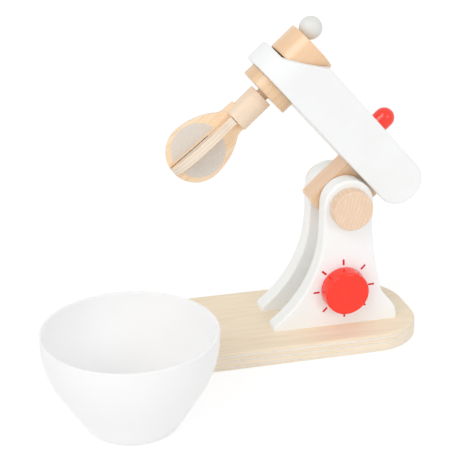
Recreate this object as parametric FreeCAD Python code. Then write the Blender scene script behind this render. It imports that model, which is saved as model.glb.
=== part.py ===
import FreeCAD, Part
import math
import os

# A wooden toy stand mixer. Sizes are in millimetres. The origin is the centre of the board's
# underside, +Z is up, +X points from the whisk to the upright plates, and -Y is the dial side.

Vector = FreeCAD.Vector
ORIGIN = Vector(0, 0, 0)
X_AXIS = Vector(1, 0, 0)
Y_AXIS = Vector(0, 1, 0)
Z_AXIS = Vector(0, 0, 1)

# --- Driving dimensions -------------------------------------------------------------------

# Clearances
running_clearance = 0.06      # radial, dowel turning in its bore
side_clearance = 0.3          # between flat faces that pass each other
lap_clearance = 0.6           # each side of a ply in the slot of the other whisk plate
lap_end_clearance = 0.2       # at the closed end of each whisk slot
screw_clearance = 0.25        # radial, screw shank through the board
most_of_wall = 0.9            # largest share of a wall that one rounding may take
under_half_of_wall = 0.48     # the same where both sides of the wall are rounded

# Board
board_length = 240.0
board_width = 104.0
board_thickness = 14.0
board_corner_radius = 42.0
board_top_rounding = 3.5
board_bottom_rounding = 1.0

# Side plates, measured from the pivot's centre or up from the board
pivot_to_board_end = 62.8
pivot_above_board = 99.0
plate_thickness = 14.5
plate_gap = 22.4
plate_head_radius = 19.7
plate_head_rise = 1.3         # of the head's centre above the pivot
plate_edge_rounding = 2.0
front_flare_drop = 20.0
toe_reach = 57.9
toe_height = 3.7
toe_rounding = 2.6
rear_flare_drop = 7.5
heel_shoulder_reach = 30.6
heel_shoulder_height = 24.5
heel_shoulder_rounding = 12.0
heel_reach = 44.0
heel_corner_height = 8.5      # of the heel's corner before it is rounded
heel_rounding = 18.4

# Screws up through the board
screw_shank_diameter = 3.8
screw_head_diameter = 7.6
screw_length = 36.0
screw_head_recess = 0.6
front_screw_reach = 32.0      # in front of the pivot
rear_screw_reach = 26.0       # behind the pivot

# Axle, caps, block and washers at the pivot
axle_diameter = 10.0
cap_diameter = 31.3
cap_projection = 10.2         # from the plate to the cap's outer face
cap_rounding = 1.0
axle_depth_in_cap = 6.5
block_front_reach = 19.9      # from the pivot, along the arm
block_rear_reach = 17.0
block_drop = 18.6             # below the pivot's centre
block_corner_rounding = 3.5
pivot_washer_diameter = 20.0
pivot_washer_thickness = 0.5
block_dowel_diameter = 8.0
block_dowel_reach = 11.5      # from the pivot, along the arm
block_dowel_length = 24.0
block_dowel_depth = 10.0      # in the block

# Arm, in its own level frame: along the arm from the pivot, and up from the pivot
arm_tilt = 47.76              # degrees up from level, as it stands
arm_underside = 22.1
arm_thickness = 36.7
arm_width = 54.2
arm_rear_reach = 31.3
arm_rear_rounding = 18.0
arm_edge_rounding = 1.5
crank_reach = 105.1
seat_height = 17.1            # of the nose's seat above the arm's underside
seat_length = 10.7            # from the tip of the nose to the foot of the slope
slope_length = 29.2           # along the arm
slope_crease_rounding = 1.5

# Red domed peg
dome_diameter = 15.8
dome_height = 15.4
dome_reach = 21.2
dome_stem_diameter = 8.0
dome_stem_length = 14.0

# Crank: drum, ball, shaft and collar
shaft_diameter = 10.0
drum_diameter = 41.6
drum_height = 21.6
drum_rounding = 0.8
drum_lift = 1.4               # over the seat
pocket_clearance = 0.75       # radial, round the drum
drum_washer_diameter = 18.0
shaft_depth_in_drum = 14.0
ball_diameter = 17.3
ball_offset = 10.9            # from the crank's axis
ball_seat_depth = 0.9
crank_peg_diameter = 6.0
crank_peg_depth_in_drum = 9.0
crank_peg_depth_in_ball = 11.0
collar_diameter = 41.2
collar_thickness = 9.6
collar_rounding = 0.8

# Whisk: ferrule and two plywood plates halved into each other
ferrule_diameter = 20.0
ferrule_length = 26.3
ferrule_gap = 2.4             # below the collar
ferrule_rounding = 0.6
shaft_depth_in_ferrule = 14.0
whisk_turn = -15.5            # degrees about the shaft
whisk_lean = 3.0              # degrees out of line with the shaft
whisk_lean_shift = 1.8        # at the ferrule's lower end
whisk_ply_thickness = 6.5
whisk_neck_width = 21.0
whisk_neck_depth = 7.7        # up into the ferrule's slots
whisk_tenon_width = 14.0      # of the second plate, inside the ferrule
whisk_shoulder_gap = 0.5      # between its shoulders and the ferrule
whisk_neck_blend = 8.0
whisk_belly_radius = 22.3
whisk_belly_drop = 37.8       # below the ferrule
whisk_flank_radius = 52.0
whisk_lap_drop = 23.0         # where the two slots meet, below the ferrule
whisk_edge_rounding = 0.5

# Dial
dial_diameter = 36.0
dial_projection = 10.0        # from the plate to the dial's face
dial_rounding = 0.9
dial_ahead = 2.4              # of the pivot, towards the whisk
dial_above_board = 31.3
dial_spindle_diameter = 10.0
dial_spindle_depth = 6.0      # in the dial
dial_washer_diameter = 17.0
dial_washer_thickness = 1.0
dial_screw_shank_diameter = 3.5
dial_screw_head_diameter = 7.5
dial_screw_head_height = 2.4
dial_screw_head_rounding = 1.0
dial_screw_length = 13.0

# Bowl
bowl_ahead = 183.1            # of the pivot
bowl_aside = 103.4            # from the mixer's middle plane
bowl_height = 71.3
bowl_belly_radius = 61.0
bowl_belly_height = 68.0
bowl_shoulder_radius = 75.0
bowl_cone_angle = 31.0        # degrees from upright
bowl_wall = 1.8
bowl_rim_rounding = 0.75
bowl_foot_rounding = 6.0

# --- Derived sizes ------------------------------------------------------------------------

pivot_x = board_length / 2 - pivot_to_board_end
pivot_z = board_thickness + pivot_above_board
pivot = Vector(pivot_x, 0, pivot_z)

plate_inner_y = plate_gap / 2
plate_outer_y = plate_inner_y + plate_thickness
plate_middle_y = plate_inner_y + plate_thickness / 2

block_width = plate_gap - 2 * (pivot_washer_thickness + side_clearance)

arm_top = arm_underside + arm_thickness
seat_level = arm_underside + seat_height
drum_floor = seat_level + drum_lift
drum_top = drum_floor + drum_height
drum_washer_thickness = drum_lift - side_clearance
ball_radius = ball_diameter / 2
ball_level = drum_top - ball_seat_depth + ball_radius

collar_floor = arm_underside - collar_thickness
ferrule_top = collar_floor - ferrule_gap
ferrule_floor = ferrule_top - ferrule_length

dial_x = pivot_x - dial_ahead
dial_z = board_thickness + dial_above_board


# --- Helpers ------------------------------------------------------------------------------

def rod(diameter, start, end):
    """A solid cylinder between two points."""
    axis = end - start
    return Part.makeCylinder(diameter / 2, axis.Length, start, axis)


def arc_about(centre, start, end):
    """An arc of less than half a turn about a centre."""
    radius = (start - centre).Length
    middle = (start - centre) + (end - centre)
    middle.normalize()
    return Part.Arc(start, centre + middle * radius, end).toShape()


def straight(start, end):
    return Part.LineSegment(start, end).toShape()


def prism(edges, thickness):
    """Extrudes a closed outline in an XZ plane by a thickness, both ways along Y."""
    solid = Part.Face(Part.Wire(edges)).extrude(Y_AXIS * thickness)
    solid.translate(Y_AXIS * (-thickness / 2))
    return solid


def box_between(low, high):
    size = high - low
    return Part.makeBox(size.x, size.y, size.z, low)


def is_parallel(edge, axis):
    if edge.Curve.TypeId != "Part::GeomLine":
        return False
    return edge.Curve.Direction.cross(axis).Length < 1e-6


def edges_through(shape, axis, point):
    """Straight edges along an axis whose line passes through a point."""
    found = []
    for edge in shape.Edges:
        offset = edge.CenterOfMass - point
        if is_parallel(edge, axis) and offset.cross(axis).Length < 1e-4:
            found.append(edge)
    return found


def round_ends(solid, radius, axis=Z_AXIS):
    """Rounds the circular edges at the two ends of a turned piece."""
    low = min(edge.CenterOfMass.dot(axis) for edge in solid.Edges)
    high = max(edge.CenterOfMass.dot(axis) for edge in solid.Edges)
    ends = []
    for edge in solid.Edges:
        level = edge.CenterOfMass.dot(axis)
        if edge.Closed and edge.Curve.TypeId == "Part::GeomCircle":
            if abs(level - low) < 1e-6 or abs(level - high) < 1e-6:
                ends.append(edge)
    return solid.makeFillet(radius, ends)


def raise_with_arm(shape):
    """Takes a shape from the arm's level frame, with its origin at the pivot, to its place."""
    placed = shape.copy()
    placed.rotate(ORIGIN, Y_AXIS, arm_tilt)
    placed.translate(pivot)
    return placed


def mirrored_across_middle(shape):
    return shape.mirror(ORIGIN, Y_AXIS)


def export(name, shape):
    shape.exportStep(os.path.join("parts", name + ".step"))


# --- Board and screws ---------------------------------------------------------------------

def make_board():
    """A board with round corners; its top edge is rounded more than its bottom edge."""
    corner = Vector(-board_length / 2, -board_width / 2, 0)
    board = Part.makeBox(board_length, board_width, board_thickness, corner)
    uprights = [edge for edge in board.Edges if is_parallel(edge, Z_AXIS)]
    board = board.makeFillet(board_corner_radius, uprights)
    top = [edge for edge in board.Edges if abs(edge.BoundBox.ZMin - board_thickness) < 1e-6]
    board = board.makeFillet(board_top_rounding, top)
    bottom = [edge for edge in board.Edges if edge.BoundBox.ZMax < 1e-6]
    return board.makeFillet(board_bottom_rounding, bottom)


def screw_places():
    places = []
    for reach in (-front_screw_reach, rear_screw_reach):
        for side in (-1, 1):
            places.append(Vector(pivot_x + reach, side * plate_middle_y, 0))
    return places


def countersunk_screw(place, shank_radius):
    """A screw that points up, its head below the board's underside by the recess."""
    head_radius = screw_head_diameter / 2
    head_height = head_radius - screw_shank_diameter / 2
    head_floor = place + Z_AXIS * screw_head_recess
    head = Part.makeCone(head_radius, screw_shank_diameter / 2, head_height, head_floor)
    shank = Part.makeCylinder(shank_radius, screw_length, head_floor)
    return head.fuse(shank)


def make_base_screws():
    shank_radius = screw_shank_diameter / 2
    return [countersunk_screw(place, shank_radius) for place in screw_places()]


def screw_hole_in_board(place):
    """A clearance hole with its countersink and the recess below the head."""
    hole = countersunk_screw(place, screw_shank_diameter / 2 + screw_clearance)
    recess = Part.makeCylinder(screw_head_diameter / 2, screw_head_recess, place)
    return hole.fuse(recess)


# --- Side plates --------------------------------------------------------------------------

def flare_arc(start, end):
    """An arc that leaves its start point upright and swings out to its end point."""
    across = end.x - start.x
    drop = start.z - end.z
    radius = (across ** 2 + drop ** 2) / (2 * abs(across))
    centre = start + X_AXIS * math.copysign(radius, across)
    return arc_about(centre, start, end)


def make_side_plate():
    """One plate, centred on the middle plane: round head, hollow front, stepped heel."""
    floor = board_thickness
    toe = Vector(pivot_x - toe_reach, 0, floor)
    toe_top = toe + Z_AXIS * toe_height
    front = Vector(pivot_x - plate_head_radius, 0, pivot_z - front_flare_drop)
    front_head = Vector(front.x, 0, pivot_z + plate_head_rise)
    crown = Vector(pivot_x, 0, front_head.z + plate_head_radius)
    rear_head = Vector(pivot_x + plate_head_radius, 0, front_head.z)
    rear = Vector(rear_head.x, 0, pivot_z - rear_flare_drop)
    shoulder = Vector(pivot_x + heel_shoulder_reach, 0, floor + heel_shoulder_height)
    heel = Vector(pivot_x + heel_reach, 0, floor)
    heel_top = heel + Z_AXIS * heel_corner_height
    outline = [
        straight(toe, toe_top),
        flare_arc(front, toe_top),
        straight(front, front_head),
        Part.Arc(front_head, crown, rear_head).toShape(),
        straight(rear_head, rear),
        flare_arc(rear, shoulder),
        straight(shoulder, heel_top),
        straight(heel_top, heel),
        straight(heel, toe),
    ]
    plate = prism(Part.__sortEdges__(outline), plate_thickness)
    heel_slope = math.atan2(heel_top.x - shoulder.x, shoulder.z - heel_top.z)
    heel_limit = most_of_wall * heel_corner_height / math.tan(heel_slope / 2)
    corners = (
        (toe_top, min(toe_rounding, most_of_wall * toe_height)),
        (heel_top, min(heel_rounding, heel_limit)),
        (shoulder, heel_shoulder_rounding),
    )
    for corner, radius in corners:
        plate = plate.makeFillet(radius, edges_through(plate, Y_AXIS, corner))
    rims = []
    for edge in plate.Edges:
        on_board = abs(edge.BoundBox.ZMax - floor) < 1e-6
        if abs(edge.BoundBox.YMax - edge.BoundBox.YMin) < 1e-6 and not on_board:
            rims.append(edge)
    return plate.makeFillet(plate_edge_rounding, rims)


def bore_plate(plate, side):
    """Moves a plate to one side and bores it for the axle and the screws."""
    placed = plate.copy()
    placed.translate(Y_AXIS * side * plate_middle_y)
    reach = Y_AXIS * plate_outer_y
    axle_bore = rod(axle_diameter + 2 * running_clearance, pivot - reach, pivot + reach)
    placed = placed.cut(axle_bore)
    for screw in make_base_screws():
        placed = placed.cut(screw)
    return placed


# --- Block, axle and what is on it --------------------------------------------------------

def make_block():
    """The block under the arm, in the arm's level frame, with its lower corners rounded."""
    low = Vector(-block_front_reach, -block_width / 2, -block_drop)
    high = Vector(block_rear_reach, block_width / 2, arm_underside)
    block = box_between(low, high)
    for along in (low.x, high.x):
        corner = Vector(along, 0, low.z)
        block = block.makeFillet(block_corner_rounding, edges_through(block, Y_AXIS, corner))
    block = block.cut(rod(axle_diameter, Y_AXIS * low.y, Y_AXIS * high.y))
    return block.cut(make_arm_dowels())


def make_arm_dowels():
    dowels = []
    for along in (-block_dowel_reach, block_dowel_reach):
        foot = Vector(along, 0, arm_underside - block_dowel_depth)
        dowels.append(rod(block_dowel_diameter, foot, foot + Z_AXIS * block_dowel_length))
    return Part.makeCompound(dowels)


def make_axle():
    half = plate_outer_y + side_clearance + axle_depth_in_cap
    return rod(axle_diameter, Y_AXIS * -half, Y_AXIS * half)


def make_axle_cap():
    """The cap on the far end of the axle; the other one is its mirror image."""
    inner = plate_outer_y + side_clearance
    cap = rod(cap_diameter, Y_AXIS * inner, Y_AXIS * (plate_outer_y + cap_projection))
    return round_ends(cap, cap_rounding, Y_AXIS).cut(make_axle())


def make_pivot_washer():
    """The washer on the far side of the block; the other one is its mirror image."""
    inner = block_width / 2
    washer = rod(pivot_washer_diameter, Y_AXIS * inner, Y_AXIS * (inner + pivot_washer_thickness))
    return washer.cut(make_axle())


# --- Arm, in its level frame --------------------------------------------------------------

def make_arm_side():
    """The arm from the side: nose at -X, with its seat and the slope up to the top."""
    nose_bottom = Vector(-crank_reach - arm_width / 2, 0, arm_underside)
    nose_top = nose_bottom + Z_AXIS * seat_height
    slope_foot = nose_top + X_AXIS * seat_length
    slope_top = Vector(slope_foot.x + slope_length, 0, arm_top)
    rear_top = Vector(arm_rear_reach, 0, arm_top)
    rear_bottom = Vector(arm_rear_reach, 0, arm_underside)
    corners = [nose_bottom, rear_bottom, rear_top, slope_top, slope_foot, nose_top, nose_bottom]
    side = prism(Part.makePolygon(corners).Edges, arm_width)
    rear_radius = min(arm_rear_rounding, under_half_of_wall * arm_thickness)
    roundings = (
        (rear_top, rear_radius),
        (rear_bottom, rear_radius),
        (slope_top, slope_crease_rounding),
        (slope_foot, slope_crease_rounding),
    )
    for corner, radius in roundings:
        side = side.makeFillet(radius, edges_through(side, Y_AXIS, corner))
    return side


def make_arm_blank():
    """The arm before boring: the side shape cut to a plan with a half-round nose."""
    half = arm_width / 2
    middle = Vector(-crank_reach, 0, 0)
    body = box_between(Vector(-crank_reach, -half, 0), Vector(arm_rear_reach, half, arm_top))
    nose = Part.makeCylinder(half, arm_top, middle)
    return make_arm_side().common(body.fuse(nose).removeSplitter())


def outer_edges(blank):
    """Every edge of the arm but the two creases of the slope and the rear end's seams."""
    found = []
    for edge in blank.Edges:
        across = is_parallel(edge, Y_AXIS)
        upright = is_parallel(edge, Z_AXIS)
        if not across and not upright:
            found.append(edge)
    return found


def make_arm():
    blank = make_arm_blank()
    arm = blank.makeFillet(arm_edge_rounding, outer_edges(blank))
    axis_point = Vector(-crank_reach, 0, 0)
    pocket = rod(
        drum_diameter + 2 * pocket_clearance,
        axis_point + Z_AXIS * seat_level,
        axis_point + Z_AXIS * (arm_top + arm_edge_rounding),
    )
    shaft_bore = rod(shaft_diameter + 2 * running_clearance, axis_point, axis_point + Z_AXIS * arm_top)
    arm = arm.cut(pocket).cut(shaft_bore)
    return arm.cut(make_arm_dowels()).cut(dome_stem())


# --- Domed peg ----------------------------------------------------------------------------

def dome_stem():
    foot = Vector(-dome_reach, 0, arm_top - dome_stem_length)
    return rod(dome_stem_diameter, foot, foot + Z_AXIS * dome_stem_length)


def make_dome_peg():
    """A short cylinder with a half ball on it, and a stem in the arm."""
    radius = dome_diameter / 2
    foot = Vector(-dome_reach, 0, arm_top)
    ball_centre = foot + Z_AXIS * (dome_height - radius)
    barrel = rod(dome_diameter, foot, ball_centre)
    cap = Part.makeSphere(radius, ball_centre, Z_AXIS, 0, 90, 360)
    return dome_stem().fuse(barrel).fuse(cap).removeSplitter()


# --- Crank --------------------------------------------------------------------------------

def crank_axis_point(level):
    return Vector(-crank_reach, 0, level)


def make_shaft():
    foot = crank_axis_point(ferrule_top - shaft_depth_in_ferrule)
    return rod(shaft_diameter, foot, crank_axis_point(drum_floor + shaft_depth_in_drum))


def make_drum():
    drum = rod(drum_diameter, crank_axis_point(drum_floor), crank_axis_point(drum_top))
    return round_ends(drum, drum_rounding).cut(make_shaft()).cut(make_crank_peg())


def make_drum_washer():
    """A washer under the drum, which carries it clear of the seat."""
    floor = drum_floor - drum_washer_thickness
    washer = rod(drum_washer_diameter, crank_axis_point(floor), crank_axis_point(drum_floor))
    return washer.cut(make_shaft())


def make_crank_peg():
    along = -crank_reach - ball_offset
    foot = Vector(along, 0, drum_top - crank_peg_depth_in_drum)
    return rod(crank_peg_diameter, foot, Vector(along, 0, drum_top + crank_peg_depth_in_ball))


def make_ball():
    """The crank's ball, with a small flat where it sits on the drum."""
    along = -crank_reach - ball_offset
    ball = Part.makeSphere(ball_radius, Vector(along, 0, ball_level))
    drum = rod(drum_diameter, crank_axis_point(drum_floor), crank_axis_point(drum_top))
    return ball.cut(drum).cut(make_crank_peg())


def make_collar():
    collar = rod(collar_diameter, crank_axis_point(collar_floor), crank_axis_point(arm_underside))
    bore = rod(
        shaft_diameter + 2 * running_clearance,
        crank_axis_point(collar_floor),
        crank_axis_point(arm_underside),
    )
    return round_ends(collar, collar_rounding).cut(bore)


# --- Whisk --------------------------------------------------------------------------------

def whisk_outline():
    """The whisk's outline in its own XZ plane, with the ferrule's lower end at Z = 0."""
    neck = whisk_neck_width / 2
    neck_top = whisk_neck_depth
    belly = whisk_belly_radius
    drop = whisk_belly_drop
    flank = whisk_flank_radius
    flank_centre_x = belly - flank
    blend_centre_x = neck + whisk_neck_blend
    spread = flank + whisk_neck_blend
    rise = math.sqrt(spread ** 2 - (blend_centre_x - flank_centre_x) ** 2)
    blend_centre = Vector(blend_centre_x, 0, rise - drop)
    flank_centre = Vector(flank_centre_x, 0, -drop)
    joint = flank_centre + (blend_centre - flank_centre) * (flank / spread)
    neck_end = Vector(neck, 0, blend_centre.z)
    widest = Vector(belly, 0, -drop)
    tip = Vector(0, 0, -drop - belly)
    half = [
        straight(Vector(0, 0, neck_top), Vector(neck, 0, neck_top)),
        straight(Vector(neck, 0, neck_top), neck_end),
        arc_about(blend_centre, neck_end, joint),
        arc_about(flank_centre, joint, widest),
        arc_about(Vector(0, 0, -drop), widest, tip),
    ]
    other_half = [edge.mirror(ORIGIN, X_AXIS) for edge in half]
    return Part.__sortEdges__(half + other_half)


def make_whisk_plate(slot_low, slot_high):
    """One plywood plate with its edges eased, slotted on its centre line between two levels."""
    plate = prism(whisk_outline(), whisk_ply_thickness)
    rims = [edge for edge in plate.Edges if edge.BoundBox.YLength < 1e-6]
    plate = plate.makeFillet(whisk_edge_rounding, rims)
    slot_half = whisk_ply_thickness / 2 + lap_clearance
    slot = box_between(
        Vector(-slot_half, -whisk_ply_thickness, slot_low),
        Vector(slot_half, whisk_ply_thickness, slot_high),
    )
    return plate.cut(slot)


def place_whisk(plate, turn):
    """Turns a plate about its own axis, leans it, and puts it below the ferrule."""
    placed = plate.copy()
    placed.rotate(ORIGIN, Z_AXIS, turn)
    placed.rotate(ORIGIN, Y_AXIS, whisk_lean)
    placed.translate(X_AXIS * -whisk_lean_shift)
    placed.rotate(ORIGIN, Z_AXIS, whisk_turn)
    placed.translate(crank_axis_point(ferrule_floor))
    return placed


def make_whisk_plates():
    """The first plate is slotted from its tip, the second one from its neck, now a tenon."""
    tip = -whisk_belly_drop - whisk_belly_radius - whisk_edge_rounding
    top = whisk_neck_depth + whisk_edge_rounding
    first = make_whisk_plate(tip, -whisk_lap_drop + lap_end_clearance)
    second = make_whisk_plate(-whisk_lap_drop - lap_end_clearance, top)
    tenon_half = whisk_tenon_width / 2
    neck = box_between(
        Vector(-whisk_neck_width, -whisk_ply_thickness, -whisk_shoulder_gap),
        Vector(whisk_neck_width, whisk_ply_thickness, top),
    )
    tenon = box_between(
        Vector(-tenon_half, -whisk_ply_thickness, -whisk_shoulder_gap),
        Vector(tenon_half, whisk_ply_thickness, top),
    )
    second = second.cut(neck.cut(tenon))
    return place_whisk(first, 0), place_whisk(second, 90)


def make_ferrule(whisk_plates):
    """The ferrule, slotted from below for one plate's neck and the other one's tenon."""
    ferrule = rod(ferrule_diameter, crank_axis_point(ferrule_floor), crank_axis_point(ferrule_top))
    ferrule = round_ends(ferrule, ferrule_rounding).cut(make_shaft())
    for plate in whisk_plates:
        ferrule = ferrule.cut(plate)
    return ferrule


# --- Dial ---------------------------------------------------------------------------------

def dial_point(y):
    return Vector(dial_x, y, dial_z)


def make_dial_spindle():
    """A dowel from inside the dial, through the plate, to just past the plate's inner face."""
    outer = -(plate_outer_y + side_clearance + dial_spindle_depth)
    inner = -(plate_inner_y - side_clearance)
    spindle = rod(dial_spindle_diameter, dial_point(outer), dial_point(inner))
    return spindle.cut(make_dial_screw())


def make_dial():
    outer = -(plate_outer_y + dial_projection)
    inner = -(plate_outer_y + side_clearance)
    dial = rod(dial_diameter, dial_point(outer), dial_point(inner))
    return round_ends(dial, dial_rounding, Y_AXIS).cut(make_dial_spindle().fuse(make_dial_screw()))


def dial_washer_faces():
    first = -(plate_inner_y - side_clearance)
    return first, first + dial_washer_thickness


def make_dial_washer():
    first, second = dial_washer_faces()
    washer = rod(dial_washer_diameter, dial_point(first), dial_point(second))
    return washer.cut(make_dial_screw())


def make_dial_screw():
    """A round-head screw from the gap between the plates into the spindle."""
    seat = dial_washer_faces()[1]
    shank = rod(dial_screw_shank_diameter, dial_point(seat - dial_screw_length), dial_point(seat))
    head = rod(dial_screw_head_diameter, dial_point(seat), dial_point(seat + dial_screw_head_height))
    crown = [edge for edge in head.Edges if edge.BoundBox.YMin > seat + dial_screw_head_height / 2]
    rounding = min(dial_screw_head_rounding, most_of_wall * dial_screw_head_height)
    return shank.fuse(head.makeFillet(rounding, crown))


def spindle_bore():
    diameter = dial_spindle_diameter + 2 * running_clearance
    return rod(diameter, dial_point(-plate_outer_y), dial_point(-plate_inner_y))


# --- Bowl ---------------------------------------------------------------------------------

def bowl_solid(inset):
    """The bowl's outer shape drawn in by an inset: a cone below, a wide arc above."""
    angle = math.radians(bowl_cone_angle)
    radius = bowl_shoulder_radius - inset
    centre = Vector(bowl_belly_radius - bowl_shoulder_radius, 0, bowl_belly_height)
    cone_top = centre + Vector(math.cos(angle), 0, -math.sin(angle)) * radius
    foot_drop = cone_top.z - inset
    foot = Vector(cone_top.x - foot_drop * math.tan(angle), 0, inset)
    rise = bowl_height - bowl_belly_height
    rim = Vector(centre.x + math.sqrt(radius ** 2 - rise ** 2), 0, bowl_height)
    edges = [
        straight(Vector(0, 0, inset), foot),
        straight(foot, cone_top),
        arc_about(centre, cone_top, rim),
        straight(rim, Vector(0, 0, bowl_height)),
        straight(Vector(0, 0, bowl_height), Vector(0, 0, inset)),
    ]
    solid = Part.Face(Part.Wire(edges)).revolve(ORIGIN, Z_AXIS, 360)
    foot_edges = [edge for edge in solid.Edges if edge.Closed and edge.BoundBox.ZMax < inset + 1e-6]
    return solid.makeFillet(bowl_foot_rounding - inset, foot_edges)


def make_bowl():
    bowl = bowl_solid(0).cut(bowl_solid(bowl_wall))
    rim = [edge for edge in bowl.Edges if edge.Closed and edge.BoundBox.ZMin > bowl_height - 1e-6]
    bowl = bowl.makeFillet(min(bowl_rim_rounding, under_half_of_wall * bowl_wall), rim)
    bowl.translate(Vector(pivot_x - bowl_ahead, -bowl_aside, 0))
    return bowl


# --- The whole mixer ----------------------------------------------------------------------

def make_stand():
    screws = make_base_screws()
    board = make_board()
    for place in screw_places():
        board = board.cut(screw_hole_in_board(place))
    plate = make_side_plate()
    export("base_board", board)
    export("dial_side_plate", bore_plate(plate, -1).cut(spindle_bore()))
    export("far_side_plate", bore_plate(plate, 1))
    export("base_screws", Part.makeCompound(screws))


def make_tilting_head():
    cap = make_axle_cap()
    washer = make_pivot_washer()
    pieces = {
        "pivot_block": make_block(),
        "pivot_axle": make_axle(),
        "near_axle_cap": mirrored_across_middle(cap),
        "far_axle_cap": cap,
        "near_pivot_washer": mirrored_across_middle(washer),
        "far_pivot_washer": washer,
        "head_arm": make_arm(),
        "arm_dowels": make_arm_dowels(),
        "button_peg": make_dome_peg(),
        "collar": make_collar(),
    }
    for name, shape in pieces.items():
        export(name, raise_with_arm(shape))


def make_crank():
    whisk_plates = make_whisk_plates()
    pieces = {
        "drive_shaft": make_shaft(),
        "crank_drum": make_drum(),
        "drum_washer": make_drum_washer(),
        "crank_peg": make_crank_peg(),
        "crank_ball": make_ball(),
        "whisk_ferrule": make_ferrule(whisk_plates),
        "whisk_plate_a": whisk_plates[0],
        "whisk_plate_b": whisk_plates[1],
    }
    for name, shape in pieces.items():
        export(name, raise_with_arm(shape))


def make_dial_group():
    export("dial_knob", make_dial())
    export("dial_spindle", make_dial_spindle())
    export("dial_washer", make_dial_washer())
    export("dial_screw", make_dial_screw())


os.makedirs("parts", exist_ok=True)
make_stand()
make_tilting_head()
make_crank()
make_dial_group()
export("mixing_bowl", make_bowl())
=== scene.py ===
import math

import bmesh
import bpy
from mathutils import Matrix, Vector


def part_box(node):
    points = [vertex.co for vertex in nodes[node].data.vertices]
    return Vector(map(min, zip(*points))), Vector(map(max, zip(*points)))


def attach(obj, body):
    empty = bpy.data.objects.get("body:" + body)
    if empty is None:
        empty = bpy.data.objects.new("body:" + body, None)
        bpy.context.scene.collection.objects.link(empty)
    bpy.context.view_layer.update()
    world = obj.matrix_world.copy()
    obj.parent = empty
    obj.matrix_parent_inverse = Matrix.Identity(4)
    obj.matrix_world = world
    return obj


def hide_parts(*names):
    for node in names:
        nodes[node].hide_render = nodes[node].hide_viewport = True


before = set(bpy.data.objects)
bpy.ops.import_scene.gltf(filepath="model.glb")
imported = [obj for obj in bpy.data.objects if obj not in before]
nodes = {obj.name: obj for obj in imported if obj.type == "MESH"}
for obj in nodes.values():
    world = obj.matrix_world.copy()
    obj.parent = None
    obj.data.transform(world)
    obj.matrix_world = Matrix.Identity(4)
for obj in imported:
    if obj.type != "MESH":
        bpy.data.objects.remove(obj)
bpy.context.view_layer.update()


# --- Board --------------------------------------------------------------------------------
# A plank of seven-ply birch plywood with round ends, sanded round along its top edge. Clear
# satin lacquer keeps the face veneer pale, and the layers show as contour lines at the edge.

MM = 0.001


def colour(red, green, blue):
    """A colour from a paint chart's numbers, 0 to 255, as the light that it sends back."""
    shares = [value / 255 for value in (red, green, blue)]
    light = [s / 12.92 if s <= 0.04045 else ((s + 0.055) / 1.055) ** 2.4 for s in shares]
    return (*light, 1.0)


class Wire:
    """A value on its way through a finish; arithmetic on it adds the Math nodes."""

    def __init__(self, finish, socket):
        self.finish = finish
        self.socket = socket

    def math(self, operation, *terms):
        return self.finish.node("ShaderNodeMath", {"operation": operation}, dict(enumerate(terms)))

    def __add__(self, other):
        return self.math("ADD", self, other)

    __radd__ = __add__

    def __sub__(self, other):
        return self.math("SUBTRACT", self, other)

    def __rsub__(self, other):
        return self.math("SUBTRACT", other, self)

    def __mul__(self, other):
        return self.math("MULTIPLY", self, other)

    __rmul__ = __mul__

    def __truediv__(self, other):
        return self.math("DIVIDE", self, other)

    def __rtruediv__(self, other):
        return self.math("DIVIDE", other, self)

    def __pow__(self, power):
        return self.math("POWER", self, power)

    def __mod__(self, pitch):
        return self.math("FLOORED_MODULO", self, pitch)

    def __abs__(self):
        return self.math("ABSOLUTE", self)


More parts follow.
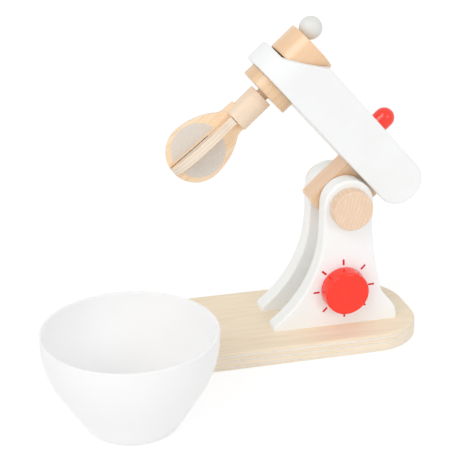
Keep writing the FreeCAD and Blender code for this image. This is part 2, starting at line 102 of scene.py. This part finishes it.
class Finish:
    """The nodes of one material, or of the studio's surroundings."""

    def __init__(self, owner):
        owner.use_nodes = True
        self.owner = owner
        self.tree = owner.node_tree

    def node(self, kind, settings=None, values=None, output=0):
        """Adds a node: its settings first, and then the values or wires of its sockets."""
        made = self.tree.nodes.new(kind)
        for name, setting in (settings or {}).items():
            setattr(made, name, setting)
        self.fill(made, values or {})
        if isinstance(output, tuple):
            return [Wire(self, made.outputs[name]) for name in output]
        return Wire(self, made.outputs[output])

    def fill(self, made, values):
        """Gives a node's sockets their values, and links the wires among them."""
        for name, value in values.items():
            if isinstance(value, Wire):
                self.tree.links.new(value.socket, made.inputs[name])
            else:
                made.inputs[name].default_value = value

    def surface(self, **values):
        """Sets the sockets of the material's own shader, named with _ for a space."""
        shader = self.tree.nodes["Principled BSDF"]
        self.fill(shader, {name.replace("_", " "): value for name, value in values.items()})

    def local(self, origin=(0, 0, 0), turn=(0, 0, 0)):
        """Millimetres from a piece's own origin, along its own axes."""
        place = self.node("ShaderNodeTexCoord", output="Object")
        values = {"Vector": place, "Location": origin, "Rotation": turn, "Scale": (MM, MM, MM)}
        return self.node("ShaderNodeMapping", {"vector_type": "TEXTURE"}, values)

    def axes(self, place):
        """The X, Y and Z of a place."""
        return self.node("ShaderNodeSeparateXYZ", None, {0: place}, ("X", "Y", "Z"))

    def point(self, x, y, z):
        """The place that has these X, Y and Z."""
        return self.node("ShaderNodeCombineXYZ", None, {0: x, 1: y, 2: z})

    def noise(self, place, grains, detail=2.0):
        """Noise from 0 to 1, its grains so many millimetres long: one length, or one each way."""
        lengths = grains if isinstance(grains, (tuple, list)) else (grains,) * 3
        shares = tuple(1 / length for length in lengths)
        scaled = self.node("ShaderNodeVectorMath", {"operation": "MULTIPLY"}, {0: place, 1: shares})
        values = {"Vector": scaled, "Scale": 1.0, "Detail": detail}
        return self.node("ShaderNodeTexNoise", None, values)

    def step(self, value, low, high):
        """A smooth step from 0 at low to 1 at high."""
        settings = {"interpolation_type": "SMOOTHSTEP"}
        values = {0: value, 1: low, 2: high, 3: 0.0, 4: 1.0}
        return self.node("ShaderNodeMapRange", settings, values)

    def mix(self, share, first, second):
        """The first colour where the share is 0, and the second where it is 1."""
        settings = {"data_type": "RGBA", "blend_type": "MIX", "clamp_result": False}
        return self.node("ShaderNodeMix", settings, {0: share, 6: first, 7: second}, 2)

    def bump(self, height, depth):
        """A relief of so many millimetres."""
        values = {"Height": height, "Distance": depth * MM}
        return self.node("ShaderNodeBump", None, values, "Normal")


def new_finish(name):
    """A new material, ready for its nodes."""
    return Finish(bpy.data.materials.new(name))


def cover(piece, finish):
    """Gives a piece its finish, in its object's own material slot."""
    if not piece.material_slots:
        piece.data.materials.append(None)
    piece.material_slots[0].link = "OBJECT"
    piece.material_slots[0].material = finish.owner


board_thickness = 14.0
ply_thickness = 2.0
ply_margin = 0.4  # sanded off each outer ply
ply_waver = 0.5  # by which the layers rise and fall
waver_grains = (38, 30, 9)
board_fibre_stretch = 4.0
veneer_contrast = (0.36, 0.68)
layer_contrast = (0.32, 0.72)
glue_patches = (45, 45, 1.5)
glue_strength = 0.7
glue_least = 0.15
board_flecks = (5.5, 0.9, 0.9)
board_fleck_strength = 0.3
board_relief = 0.06
satin_shine = 0.35
veneer_pale = colour(250, 235, 211)
veneer_dark = colour(241, 223, 194)
layer_pale = colour(245, 238, 227)
layer_dark = colour(235, 221, 201)
glue_tan = colour(196, 162, 122)
fine_fibre_width, fine_fibre_length, fine_fibre_share = 0.7, 6, 0.6
broad_fibre_width, broad_fibre_length, broad_fibre_share = 4.5, 16, 0.4


def fibre_streaks(finish, place, stretch, grain_axis):
    """Long fibres: a fine noise and a broad one, both drawn out along the grain."""
    fine_grains = [stretch * fine_fibre_length if axis == grain_axis else fine_fibre_width
                   for axis in "XYZ"]
    broad_grains = [stretch * broad_fibre_length if axis == grain_axis else broad_fibre_width
                    for axis in "XYZ"]
    fine = finish.noise(place, fine_grains, 3.0)
    broad = finish.noise(place, broad_grains)
    return fine * fine_fibre_share + broad * broad_fibre_share


def every_other_ply(finish, ply):
    """1 in every other layer and 0 between, for a depth that is counted in layers."""
    return finish.step(abs(((ply - 0.5) / 2) % 1 - 0.5), 0.27, 0.23)


def board_finish():
    """Veneer with its grain along the board on every other ply, and crosswise between."""
    finish = new_finish("birch_plywood")
    place = finish.local()
    z = finish.axes(place)[2]
    waver = finish.noise(place, waver_grains) - 0.5
    level = z * (1 - 2 * ply_margin / board_thickness) + ply_margin + waver * ply_waver
    ply = level / ply_thickness
    crosswise = every_other_ply(finish, ply)
    along_grain = fibre_streaks(finish, place, board_fibre_stretch, "X")
    cross_grain = fibre_streaks(finish, place, board_fibre_stretch, "Y")
    grain = along_grain + (cross_grain - along_grain) * crosswise
    veneer = finish.mix(finish.step(grain, *veneer_contrast), veneer_pale, veneer_dark)
    layer = finish.mix(finish.step(grain, *layer_contrast), layer_pale, layer_dark)
    wood = finish.mix(crosswise, veneer, layer)
    glue = finish.step(abs(ply % 1 - 0.5), 0.44, 0.485)
    patchy = finish.step(finish.noise(place, glue_patches), 0.4, 0.62)
    wood = finish.mix(glue * (patchy * glue_strength + glue_least), wood, glue_tan)
    fleck = finish.step(finish.noise(place, board_flecks, 1.0), 0.66, 0.74)
    wood = finish.mix(fleck * board_fleck_strength * (1 - glue), wood, layer_dark)
    finish.surface(
        Base_Color=wood,
        Roughness=0.46 + grain * 0.12,
        Normal=finish.bump(grain - glue * 0.5, board_relief),
        Specular_IOR_Level=satin_shine,
    )
    return finish


cover(nodes["base_board"], board_finish())


# --- Side plates --------------------------------------------------------------------------
# Two sawn wooden plates that stand on the board and carry the arm's axle between them. They
# are sanded, sprayed with satin white paint, and screwed to the board from below.

plate_whites = (colour(249, 251, 251), colour(247, 249, 248))
paint_clouds = 26
orange_peel = 1.3
wood_under_paint = (34, 1.8, 1.8)
paint_relief = 0.025
upright = (0, math.radians(90), 0)


def white_paint(name, turn, whites):
    """Sprayed paint: faint clouds, a fine orange peel, and the wood's grain just felt."""
    finish = new_finish(name)
    place = finish.local(turn=turn)
    cloud = finish.noise(place, paint_clouds)
    peel = finish.noise(place, orange_peel, 1.0)
    grain = finish.noise(place, wood_under_paint)
    finish.surface(
        Base_Color=finish.mix(finish.step(cloud, 0.35, 0.65), *whites),
        Roughness=0.36 + cloud * 0.12,
        Normal=finish.bump(peel * 0.5 + grain, paint_relief),
        Specular_IOR_Level=0.4,
    )
    return finish


plate_paint = white_paint("white_paint_on_plates", upright, plate_whites)
cover(nodes["dial_side_plate"], plate_paint)
cover(nodes["far_side_plate"], plate_paint)


# --- Base screws --------------------------------------------------------------------------
# Four zinc-plated wood screws with countersunk heads and cross recesses. They are driven up
# through the board into the side plates, until their heads sit just inside its underside.

pivot = Vector((57.2, 0.0, 113.0)) * MM
screw_rows = 18.45 * MM  # to each side of the board's middle line
screw_reaches = (-32.0 * MM, 26.0 * MM)  # along the board from under the pivot
cross_length = 4.4 * MM
cross_width = 1.0 * MM
cross_depth = 1.7 * MM
cross_taper = 0.5  # of its size at the head's surface, where it is deepest
weld_distance = 0.001 * MM
steel_crease = math.radians(30)
zinc_bright = colour(206, 206, 200)
zinc_dull = colour(182, 184, 184)
zinc_clouds = 2.2
zinc_scratches = (0.25, 3.0, 0.25)
zinc_relief = 0.008


def make_object(name, mesh):
    """Turns a finished bmesh into an object in the scene."""
    data = bpy.data.meshes.new(name)
    mesh.to_mesh(data)
    mesh.free()
    made = bpy.data.objects.new(name, data)
    bpy.context.scene.collection.objects.link(made)
    return made


def add_piece(name, mesh, body):
    """Adds a finished bmesh as a piece that rides on a body."""
    piece = make_object(name, mesh)
    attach(piece, body)
    return piece


def cross_cutter(heads, inward, quarter):
    """One tapered bar through each head, turned about the screw by so many degrees."""
    turn = Matrix.Rotation(math.radians(quarter), 3, "Z")
    aim = Vector(inward).to_track_quat("Z", "X").to_matrix()
    bars = bmesh.new()
    for head in heads:
        bar = bmesh.ops.create_cube(bars, size=1.0)["verts"]
        bmesh.ops.scale(bars, vec=(cross_length, cross_width, 2 * cross_depth), verts=bar)
        for share, side in ((cross_taper, 1), (2 - cross_taper, -1)):
            end = [vertex for vertex in bar if vertex.co.z * side > 0]
            bmesh.ops.scale(bars, vec=(share, share, 1.0), verts=end)
        bmesh.ops.rotate(bars, cent=(0, 0, 0), matrix=aim @ turn, verts=bar)
        bmesh.ops.translate(bars, vec=head, verts=bar)
    return make_object("cross_cutter", bars)


def cross_recessed(name, node, body, heads, inward):
    """A node's screws with a tapered cross sunk into each head, which faces against inward."""
    steel = bmesh.new()
    steel.from_mesh(nodes[node].data)
    bmesh.ops.remove_doubles(steel, verts=steel.verts[:], dist=weld_distance)
    piece = add_piece(name, steel, body)
    cutters = [cross_cutter(heads, inward, quarter) for quarter in (0, 90)]
    for cutter in cutters:
        cut = piece.modifiers.new("cross", "BOOLEAN")
        cut.operation = "DIFFERENCE"
        cut.solver = "EXACT"
        cut.object = cutter
    depsgraph = bpy.context.evaluated_depsgraph_get()
    cut_steel = bpy.data.meshes.new_from_object(piece.evaluated_get(depsgraph))
    piece.modifiers.clear()
    piece.data = cut_steel
    for cutter in cutters:
        bpy.data.objects.remove(cutter)
    cut_steel.shade_smooth()
    cut_steel.set_sharp_from_angle(angle=steel_crease)
    return piece


def zinc_plate():
    """Bright plating with fine scratches and a slightly uneven shine."""
    finish = new_finish("zinc_plating")
    place = finish.local()
    cloud = finish.noise(place, zinc_clouds, 3.0)
    scratch = finish.noise(place, zinc_scratches)
    finish.surface(
        Base_Color=finish.mix(cloud, zinc_bright, zinc_dull),
        Metallic=1.0,
        Roughness=0.26 + cloud * 0.16,
        Normal=finish.bump(scratch, zinc_relief),
    )
    return finish


zinc = zinc_plate()
cover(nodes["base_screws"], zinc)
head_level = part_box("base_screws")[0][2]
base_heads = [Vector((pivot.x + reach, row, head_level)) for reach in screw_reaches
              for row in (-screw_rows, screw_rows)]
base_screws = cross_recessed("base_wood_screws", "base_screws", "stand", base_heads, (0, 0, 1))
cover(base_screws, zinc)
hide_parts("base_screws")


# --- Block, axle, caps, washers and dowels ------------------------------------------------
# The arm is dowelled to a beech block that swings between the plates on a turned beech axle.
# Flat round caps are glued on the axle's ends, and thin nylon washers fill the side play.

arm_tilt = math.radians(47.76)
arm_turn = (0, arm_tilt, 0)
axle_turn = (math.radians(90), 0, 0)
block_colours = (colour(238, 197, 155), colour(226, 180, 135))
cap_colours = (colour(246, 224, 204), colour(236, 205, 175))
fleck_brown = colour(186, 140, 100)
block_pith = (31.0, 24.0)
cap_pith = (-95.0, 26.0)
ring_pitch = 4.4
broad_sway, broad_sway_grains = 9.0, (24, 24, 90)
fine_sway, fine_sway_grains = 2.2, (6, 6, 50)
beech_fibres = (0.9, 0.9, 16)
beech_clouds = (9, 9, 40)
beech_flecks = (0.8, 0.8, 4.5)
beech_fleck_strength = 0.12
beech_relief = 0.01
lacquer_index = 1.9
ray_sway, ray_sway_grains = 4.0, (6, 6, 60)
broad_ray_pitch = 2.9
fine_ray_pitch = 1.1
ray_breaks = (1.8, 4.5, 60)
end_pores = (0.5, 0.5, 8)
end_relief = 0.012
nylon_pale = colour(236, 234, 226)
nylon_dull = colour(222, 219, 208)
nylon_clouds = 4
nylon_grains = 0.4
nylon_relief = 0.01


def distance_across(x, y, middle):
    """How far a place is from a line along Z through the middle."""
    return ((x - middle[0]) ** 2 + (y - middle[1]) ** 2) ** 0.5


def beech(name, origin, turn, pith, colours, seed=0.0, gloss=1.0, figure=0.3, softness=0.25):
    """Lacquered beech, its grain along the local Z: year rings, fibres and short flecks."""
    finish = new_finish(name)
    place = finish.local(origin, turn)
    x, y, z = finish.axes(place)
    moved = finish.point(x + seed, y, z)
    sway = (finish.noise(moved, broad_sway_grains) * broad_sway
            + finish.noise(moved, fine_sway_grains) * fine_sway)
    radius = distance_across(x, y, pith) + sway
    ring = (radius / ring_pitch % 1) ** 3
    fibre = finish.noise(place, beech_fibres, 3.0)
    cloud = finish.noise(place, beech_clouds)
    fleck = finish.step(finish.noise(place, beech_flecks, 1.0), 0.64, 0.72)
    shade = (ring * figure + finish.step(fibre, 0.2, 0.85) * 0.35
             + finish.step(cloud, 0.3, 0.7) * 0.3)
    wood = finish.mix(shade, *colours)
    wood = finish.mix(fleck * beech_fleck_strength, wood, fleck_brown)
    finish.surface(
        Base_Color=wood,
        Roughness=0.4 + fibre * 0.1,
        Normal=finish.bump(fibre - fleck * 0.4 - ring * 0.3, beech_relief),
        Coat_Weight=gloss,
        Coat_Roughness=softness,
        Coat_IOR=lacquer_index,
    )
    return finish


def end_grain(name, origin, turn, pith, colours):
    """The sawn end of a beech dowel: wavy pale rays between browner wood, in satin lacquer."""
    finish = new_finish(name)
    place = finish.local(origin, turn)
    pale_wood, brown_wood = colours
    x, y, z = finish.axes(place)
    sway = finish.noise(place, ray_sway_grains) - 0.5
    radius = distance_across(x, y, pith) + sway * ray_sway
    broad = abs(radius / broad_ray_pitch % 1 - 0.5) * 2
    fine = abs(radius / fine_ray_pitch % 1 - 0.5) * 2
    broken = finish.step(finish.noise(place, ray_breaks), 0.35, 0.65)
    pores = finish.noise(place, end_pores)
    pale = (broad ** 2 * 0.8 + fine * 0.2) * (broken * 0.8 + 0.2)
    wood = finish.mix(pale, brown_wood, pale_wood)
    wood = finish.mix(finish.step(pores, 0.5, 0.8) * 0.3, wood, brown_wood)
    finish.surface(
        Base_Color=wood,
        Roughness=0.5 + pores * 0.1,
        Normal=finish.bump(pores + pale * 0.3, end_relief),
        Specular_IOR_Level=satin_shine,
    )
    return finish


def nylon_finish():
    """Moulded nylon, slightly milky and faintly grained by its mould."""
    finish = new_finish("moulded_nylon")
    place = finish.local()
    cloud = finish.noise(place, nylon_clouds)
    finish.surface(
        Base_Color=finish.mix(cloud, nylon_pale, nylon_dull),
        Roughness=0.42 + cloud * 0.1,
        Normal=finish.bump(finish.noise(place, nylon_grains), nylon_relief),
    )
    return finish


block_wood = beech("beech_of_block", pivot, arm_turn, block_pith, block_colours)
cover(nodes["pivot_block"], block_wood)
cover(nodes["arm_dowels"], block_wood)

cap_wood = end_grain("end_grain_of_caps", pivot, axle_turn, cap_pith, cap_colours)
for name in ("near_axle_cap", "far_axle_cap", "pivot_axle"):
    cover(nodes[name], cap_wood)

nylon = nylon_finish()
for name in ("near_pivot_washer", "far_pivot_washer"):
    cover(nodes[name], nylon)


# --- Arm ----------------------------------------------------------------------------------
# One thick piece of wood, sawn to a half-round nose with a lower seat for the crank and
# rounded at its rear end. It has eased edges and the same white paint as the side plates.

arm_whites = (colour(245, 246, 246), colour(243, 244, 243))

arm_paint = white_paint("white_paint_on_arm", arm_turn, arm_whites)
cover(nodes["head_arm"], arm_paint)


# --- Red domed peg ------------------------------------------------------------------------
# A turned peg with a domed head, dipped in coral red paint and glued by its stem into the top
# of the arm, where it looks like the button that locks the arm.

red_bright = colour(255, 43, 5)
red_deep = colour(253, 38, 0)
red_clouds = 7
red_peel = 1.0
red_relief = 0.006
peg_gloss_index = 1.64
peg_gloss_roughness = 0.16


def red_paint(name, origin, gloss_index, gloss_roughness):
    """Glossy coral paint that is a little deeper in places, with a fine orange peel."""
    finish = new_finish(name)
    place = finish.local(origin)
    cloud = finish.noise(place, red_clouds)
    peel = finish.noise(place, red_peel, 1.0)
    finish.surface(
        Base_Color=finish.mix(finish.step(cloud, 0.3, 0.7), red_bright, red_deep),
        Roughness=0.28 + cloud * 0.1,
        Normal=finish.bump(peel, red_relief),
        Specular_IOR_Level=0.0,
        Coat_Weight=1.0,
        Coat_IOR=gloss_index,
        Coat_Roughness=gloss_roughness,
    )
    return finish


peg_red = red_paint("red_paint_on_peg", pivot, peg_gloss_index, peg_gloss_roughness)
cover(nodes["button_peg"], peg_red)


# --- Collar, shaft and ferrule ------------------------------------------------------------
# A beech dowel runs down through the nose. A flat round collar is glued under the nose, and
# a short thick dowel, slotted crosswise from below, is glued on the end to hold the whisk.

crank_reach = 105.1
crank_foot = pivot + Matrix.Rotation(arm_tilt, 3, "Y") @ Vector((-crank_reach, 0, 0)) * MM
collar_colours = (colour(237, 203, 162), colour(221, 181, 138))
ferrule_colours = (colour(242, 220, 195), colour(234, 208, 181))
collar_pith = (44.0, 38.0)
ferrule_pith = (-18.0, 55.0)

collar_wood = beech("beech_of_collar", crank_foot, arm_turn, collar_pith, collar_colours,
                    seed=8.0, gloss=0.5, figure=0.5)
cover(nodes["collar"], collar_wood)

ferrule_wood = beech("beech_of_ferrule", crank_foot, arm_turn, ferrule_pith, ferrule_colours,
                     seed=19.0, gloss=0.2)
cover(nodes["whisk_ferrule"], ferrule_wood)
cover(nodes["drive_shaft"], ferrule_wood)


# --- Crank drum and ball ------------------------------------------------------------------
# The crank is a thick beech disc let into the nose, glued on the shaft and carried over its
# seat by a washer. A ball on a peg near its rim, sprayed pale grey-white, is its handle.

drum_colours = (colour(239, 199, 156), colour(233, 187, 136))
drum_pith = (26.0, -70.0)
ball_pale = colour(232, 233, 229)
ball_dark = colour(222, 223, 218)
ball_clouds = 6
ball_peel = 0.9
ball_relief = 0.015

drum_wood = beech("beech_of_drum", crank_foot, arm_turn, drum_pith, drum_colours,
                  seed=33.0, gloss=0.95, softness=0.33)
cover(nodes["crank_drum"], drum_wood)
cover(nodes["crank_peg"], drum_wood)
cover(nodes["drum_washer"], nylon)


def ball_paint():
    """Satin grey-white paint with faint clouds."""
    finish = new_finish("grey_white_paint")
    place = finish.local(crank_foot)
    cloud = finish.noise(place, ball_clouds)
    finish.surface(
        Base_Color=finish.mix(cloud, ball_pale, ball_dark),
        Roughness=0.34 + cloud * 0.12,
        Normal=finish.bump(finish.noise(place, ball_peel, 1.0), ball_relief),
    )
    return finish


cover(nodes["crank_ball"], ball_paint())


# --- Whisk --------------------------------------------------------------------------------
# Two pear-shaped plywood plates, halved into each other and glued into the ferrule's slots.
# Each face has a round patch of grey paint, bare along the middle where the plates cross.

ferrule_floor = -16.2  # the ferrule's lower end, from the crank's foot
whisk_turn = -15.5
whisk_lean = 3.0
whisk_lean_shift = 1.8
whisk_ply = 1.3
whisk_half = 3.25
whisk_fibre_stretch = 3.0
face_colours = (colour(252, 227, 195), colour(241, 209, 172))
ply_colours = (colour(245, 230, 212), colour(236, 219, 199))
face_contrast = (0.36, 0.66)
edge_contrast = (0.4, 0.7)
edge_fibre_strength = 0.35
edge_glue_strength = 0.4
face_veneer, face_veneer_blur = 0.56, 0.06
grey_colours = (colour(226, 217, 207), colour(220, 210, 199))
grey_radius = 20.2
grey_drop = 35.0
grey_bare_half = 5.2
grey_blur = 0.15
grey_depth, grey_depth_blur = 0.12, 0.04
grey_speckle = 1.6
whisk_relief = 0.03


def whisk_frame(turn):
    """Where a plate's own axes are: Y through its thickness, Z up its middle line."""
    raised = Matrix.Translation(pivot) @ Matrix.Rotation(arm_tilt, 4, "Y")
    below_collar = Matrix.Translation(Vector((-crank_reach, 0, ferrule_floor)) * MM)
    swing = Matrix.Rotation(math.radians(whisk_turn), 4, "Z")
    shift = Matrix.Translation(Vector((-whisk_lean_shift, 0, 0)) * MM)
    lean = shift @ Matrix.Rotation(math.radians(whisk_lean), 4, "Y")
    return raised @ below_collar @ swing @ lean @ Matrix.Rotation(math.radians(turn), 4, "Z")


def whisk_finish(name, turn):
    """Plywood with its face grain along the plate, layered edges and the grey patches."""
    finish = new_finish(name)
    axes = whisk_frame(turn)
    place = finish.local(axes.to_translation(), axes.to_euler())
    x, y, z = finish.axes(place)
    depth = (y + whisk_half) / whisk_ply
    crosswise = every_other_ply(finish, depth)
    grain = fibre_streaks(finish, place, whisk_fibre_stretch, "Z")
    cross = fibre_streaks(finish, place, whisk_fibre_stretch, "X")
    edge = finish.mix(crosswise, *ply_colours)
    dark_fibre = finish.step(cross, *edge_contrast) * edge_fibre_strength
    edge = finish.mix(dark_fibre, edge, ply_colours[1])
    glue = finish.step(abs(depth % 1 - 0.5), 0.42, 0.48)
    edge = finish.mix(glue * edge_glue_strength, edge, glue_tan)
    face_start = whisk_half - face_veneer
    outer = finish.step(abs(y), face_start - face_veneer_blur, face_start + face_veneer_blur)
    face = finish.mix(finish.step(grain, *face_contrast), *face_colours)
    wood = finish.mix(outer, edge, face)
    around = distance_across(x, z, (0, -grey_drop))
    painted = finish.step(around, grey_radius + grey_blur, grey_radius - grey_blur)
    beside_bare = finish.step(abs(x), grey_bare_half - grey_blur, grey_bare_half + grey_blur)
    paint_start = whisk_half - grey_depth
    on_face = finish.step(abs(y), paint_start - grey_depth_blur, paint_start + grey_depth_blur)
    painted = painted * beside_bare * on_face
    speckle = finish.noise(place, grey_speckle, 3.0)
    grey = finish.mix(finish.step(speckle, 0.35, 0.7), *grey_colours)
    finish.surface(
        Base_Color=finish.mix(painted, wood, grey),
        Roughness=0.45 + painted * 0.08 + grain * 0.08,
        Normal=finish.bump(grain + painted * 0.6, whisk_relief),
        Specular_IOR_Level=satin_shine,
    )
    return finish


cover(nodes["whisk_plate_a"], whisk_finish("whisk_plywood_a", 0))
cover(nodes["whisk_plate_b"], whisk_finish("whisk_plywood_b", 90))


# --- Dial ---------------------------------------------------------------------------------
# A thick turned red knob, rounded along its face, on a dowel that turns in the near plate and
# is kept there from inside by a washer and a screw. Eight crimson strokes are printed round it.

dial_centre = Vector((54.8, -25.7, 45.3)) * MM
print_centre = dial_centre + Vector((0.8, 0.0, -0.4)) * MM
print_turn = -3.0
stroke_count = 8
stroke_inner = 20.0 * MM
stroke_length = 4.9 * MM
stroke_width = 1.6 * MM
stroke_depth = 0.12 * MM
stroke_easing = 0.05 * MM
print_crimson = colour(214, 0, 24)
print_thin = colour(222, 10, 42)
print_grains = 0.8
print_relief = 0.01
knob_thickness = 12.0 * MM
knob_face_share = 0.96  # of the back's diameter
knob_sides = 160
knob_rounding, knob_rounding_steps = 1.7 * MM, 8
knob_back_rounding, knob_back_rounding_steps = 0.5 * MM, 3
knob_end_inset = 0.4 * MM
dial_gloss_index = 1.54
dial_gloss_roughness = 0.09


def turned_knob():
    """The disc with its axis along Y, slightly tapered, its face rounded and its back eased."""
    low, high = (Vector(corner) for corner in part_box("dial_knob"))
    back = high.y
    front = back - knob_thickness
    middle = Vector(((low.x + high.x) / 2, (front + back) / 2, (low.z + high.z) / 2))
    radius = (high.x - low.x) / 2
    disc = bmesh.new()
    bmesh.ops.create_cone(
        disc, cap_ends=True, segments=knob_sides, radius1=radius,
        radius2=radius * knob_face_share, depth=knob_thickness,
        matrix=Matrix.Translation(middle) @ Matrix.Rotation(math.radians(90), 4, "X"),
    )
    for side, rounding, steps in ((front, knob_rounding, knob_rounding_steps),
                                  (back, knob_back_rounding, knob_back_rounding_steps)):
        rim = [edge for edge in disc.edges
               if all(abs(vertex.co.y - side) < knob_thickness / 4 for vertex in edge.verts)]
        bmesh.ops.bevel(
            disc, geom=rim, offset=rounding, affect="EDGES", segments=steps, profile=0.5,
            material=-1,
        )
    ends = [face for face in disc.faces if len(face.verts) > 4]
    bmesh.ops.inset_individual(disc, faces=ends, thickness=knob_end_inset)
    for face in disc.faces:
        face.smooth = True
    return add_piece("dial_turned_knob", disc, "dial")


def strokes():
    """Thin bars of print, laid on the plate like the marks of a clock."""
    marks = bmesh.new()
    for number in range(stroke_count):
        bar = bmesh.ops.create_cube(marks, size=1.0)["verts"]
        bmesh.ops.scale(marks, vec=(stroke_width, stroke_depth, stroke_length), verts=bar)
        out = Vector((0, 0, stroke_inner + stroke_length / 2))
        bmesh.ops.translate(marks, vec=out, verts=bar)
        turn = Matrix.Rotation(math.radians(360 / stroke_count * number + print_turn), 3, "Y")
        bmesh.ops.rotate(marks, cent=(0, 0, 0), matrix=turn, verts=bar)
        lift = Vector((0, -stroke_depth / 2, 0))
        bmesh.ops.translate(marks, vec=print_centre + lift, verts=bar)
    bmesh.ops.bevel(
        marks, geom=marks.edges[:], offset=stroke_easing, affect="EDGES", segments=1,
        profile=0.5, material=-1,
    )
    return add_piece("dial_strokes", marks, "stand")


def print_finish():
    """Crimson pad print, a little thinner in places."""
    finish = new_finish("crimson_print")
    place = finish.local(dial_centre)
    thin = finish.noise(place, print_grains, 3.0)
    worn = finish.step(thin, 0.45, 0.75) * 0.35
    finish.surface(
        Base_Color=finish.mix(worn, print_crimson, print_thin),
        Roughness=0.45,
        Normal=finish.bump(thin, print_relief),
    )
    return finish


cover(strokes(), print_finish())
dial_red = red_paint("red_paint_on_dial", dial_centre, dial_gloss_index, dial_gloss_roughness)
cover(nodes["dial_knob"], dial_red)
knob = turned_knob()
cover(knob, dial_red)
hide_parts("dial_knob")
cover(nodes["dial_spindle"], cap_wood)
cover(nodes["dial_washer"], zinc)
cover(nodes["dial_screw"], zinc)
dial_head = Vector((dial_centre.x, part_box("dial_screw")[1][1], dial_centre.z))
dial_screw = cross_recessed("dial_wood_screw", "dial_screw", "dial", [dial_head], (0, -1, 0))
cover(dial_screw, zinc)
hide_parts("dial_screw")


# --- Mixing bowl --------------------------------------------------------------------------
# A thin-walled bowl of pale satin plastic, moulded in one piece with a flat foot, a cone
# that opens into a wide round shoulder, and a rounded rim. It is a loose piece.

bowl_centre = Vector((-125.9, -103.4, 0.0)) * MM
bowl_whites = (colour(255, 255, 255), colour(253, 253, 254))
bowl_clouds = 30
bowl_mould_grains = 0.7
bowl_relief = 0.012
bowl_milkiness = 3.5 * MM  # how far light spreads inside the wall


def bowl_finish():
    """Milky plastic with a satin skin."""
    finish = new_finish("pale_satin_plastic")
    place = finish.local(bowl_centre)
    cloud = finish.noise(place, bowl_clouds)
    mould = finish.noise(place, bowl_mould_grains)
    finish.surface(
        Base_Color=finish.mix(cloud, *bowl_whites),
        Roughness=0.42 + cloud * 0.1,
        Normal=finish.bump(mould, bowl_relief),
        Subsurface_Weight=1.0,
        Subsurface_Radius=(1.0, 1.0, 1.0),
        Subsurface_Scale=bowl_milkiness,
    )
    return finish


cover(nodes["mixing_bowl"], bowl_finish())


# --- Studio -------------------------------------------------------------------------------
# The toy stands on a wide white table in an evenly lit room. Three broad soft lamps round the
# shapes: one high on the left, a weaker one low on the right, and one that fills from the side.

white = (1, 1, 1, 1)
ambient = 0.73
table_white = (0.97, 0.97, 0.97, 1)
table_half = 6.0
table_level = -0.2 * MM  # just under the toy
table_glow = 1.16
table_glow_share = 0.6
camera_eye = Vector((-231.703, -788.088, 429.504)) * MM
camera_target = Vector((-29.590, 0.0, 92.647)) * MM
camera_lens = 89.8


def backdrop_rays(finish):
    """1 for a ray that sees the backdrop itself, straight, in a gloss or through glass."""
    names = ("Is Camera Ray", "Is Glossy Ray", "Is Transmission Ray")
    straight, gloss, through = finish.node("ShaderNodeLightPath", output=names)
    return finish.node("ShaderNodeMath", {"operation": "ADD", "use_clamp": True},
                       {0: straight + gloss, 1: through})


def make_surroundings():
    """An even white room that the camera sees as plain white."""
    world = bpy.data.worlds.new("white_room")
    bpy.context.scene.world = world
    finish = Finish(world)
    strength = ambient + (1.0 - ambient) * backdrop_rays(finish)
    finish.fill(finish.tree.nodes["Background"], {"Color": white, "Strength": strength})


def make_table():
    """A white table top that keeps the toy's soft shadow."""
    top = bmesh.new()
    bmesh.ops.create_grid(top, x_segments=1, y_segments=1, size=table_half)
    bmesh.ops.translate(top, vec=(0, 0, table_level), verts=top.verts[:])
    table = make_object("table_top", top)
    finish = new_finish("white_table")
    finish.surface(Base_Color=table_white, Roughness=0.9, Specular_IOR_Level=0.0)
    glow = finish.node("ShaderNodeEmission", None, {"Color": white, "Strength": table_glow})
    shader = Wire(finish, finish.tree.nodes["Principled BSDF"].outputs[0])
    share = backdrop_rays(finish) * table_glow_share
    both = finish.node("ShaderNodeMixShader", None, {0: share, 1: shader, 2: glow})
    finish.fill(finish.tree.nodes["Material Output"], {"Surface": both})
    table.data.materials.append(finish.owner)


def soft_lamp(name, towards, strength, spread):
    """A far lamp with a broad face; strength 1 lights a surface that faces it as white."""
    lamp = bpy.data.lights.new(name, "SUN")
    lamp.energy = strength * math.pi
    lamp.angle = math.radians(spread)
    holder = bpy.data.objects.new(name, lamp)
    holder.rotation_mode = "QUATERNION"
    holder.rotation_quaternion = Vector(towards).to_track_quat("Z", "Y")
    bpy.context.scene.collection.objects.link(holder)


def make_camera():
    """A camera a little above the toy, to the left of its dial side."""
    lens = bpy.data.cameras.new("camera")
    lens.lens = camera_lens
    lens.sensor_width = 36.0
    lens.clip_start = 0.01
    camera = bpy.data.objects.new("camera", lens)
    camera.location = camera_eye
    camera.rotation_mode = "QUATERNION"
    camera.rotation_quaternion = (camera_target - camera_eye).to_track_quat("-Z", "Y")
    bpy.context.scene.collection.objects.link(camera)
    bpy.context.scene.camera = camera


make_surroundings()
make_table()
soft_lamp("right_lamp", towards=(0.35, -0.86, 0.37), strength=0.11, spread=18)
soft_lamp("left_lamp", towards=(-0.54, -0.48, 0.69), strength=0.18, spread=30)
soft_lamp("side_lamp", towards=(-0.75, -0.60, 0.10), strength=0.10, spread=50)
make_camera()
bpy.context.scene.view_settings.view_transform = "Standard"
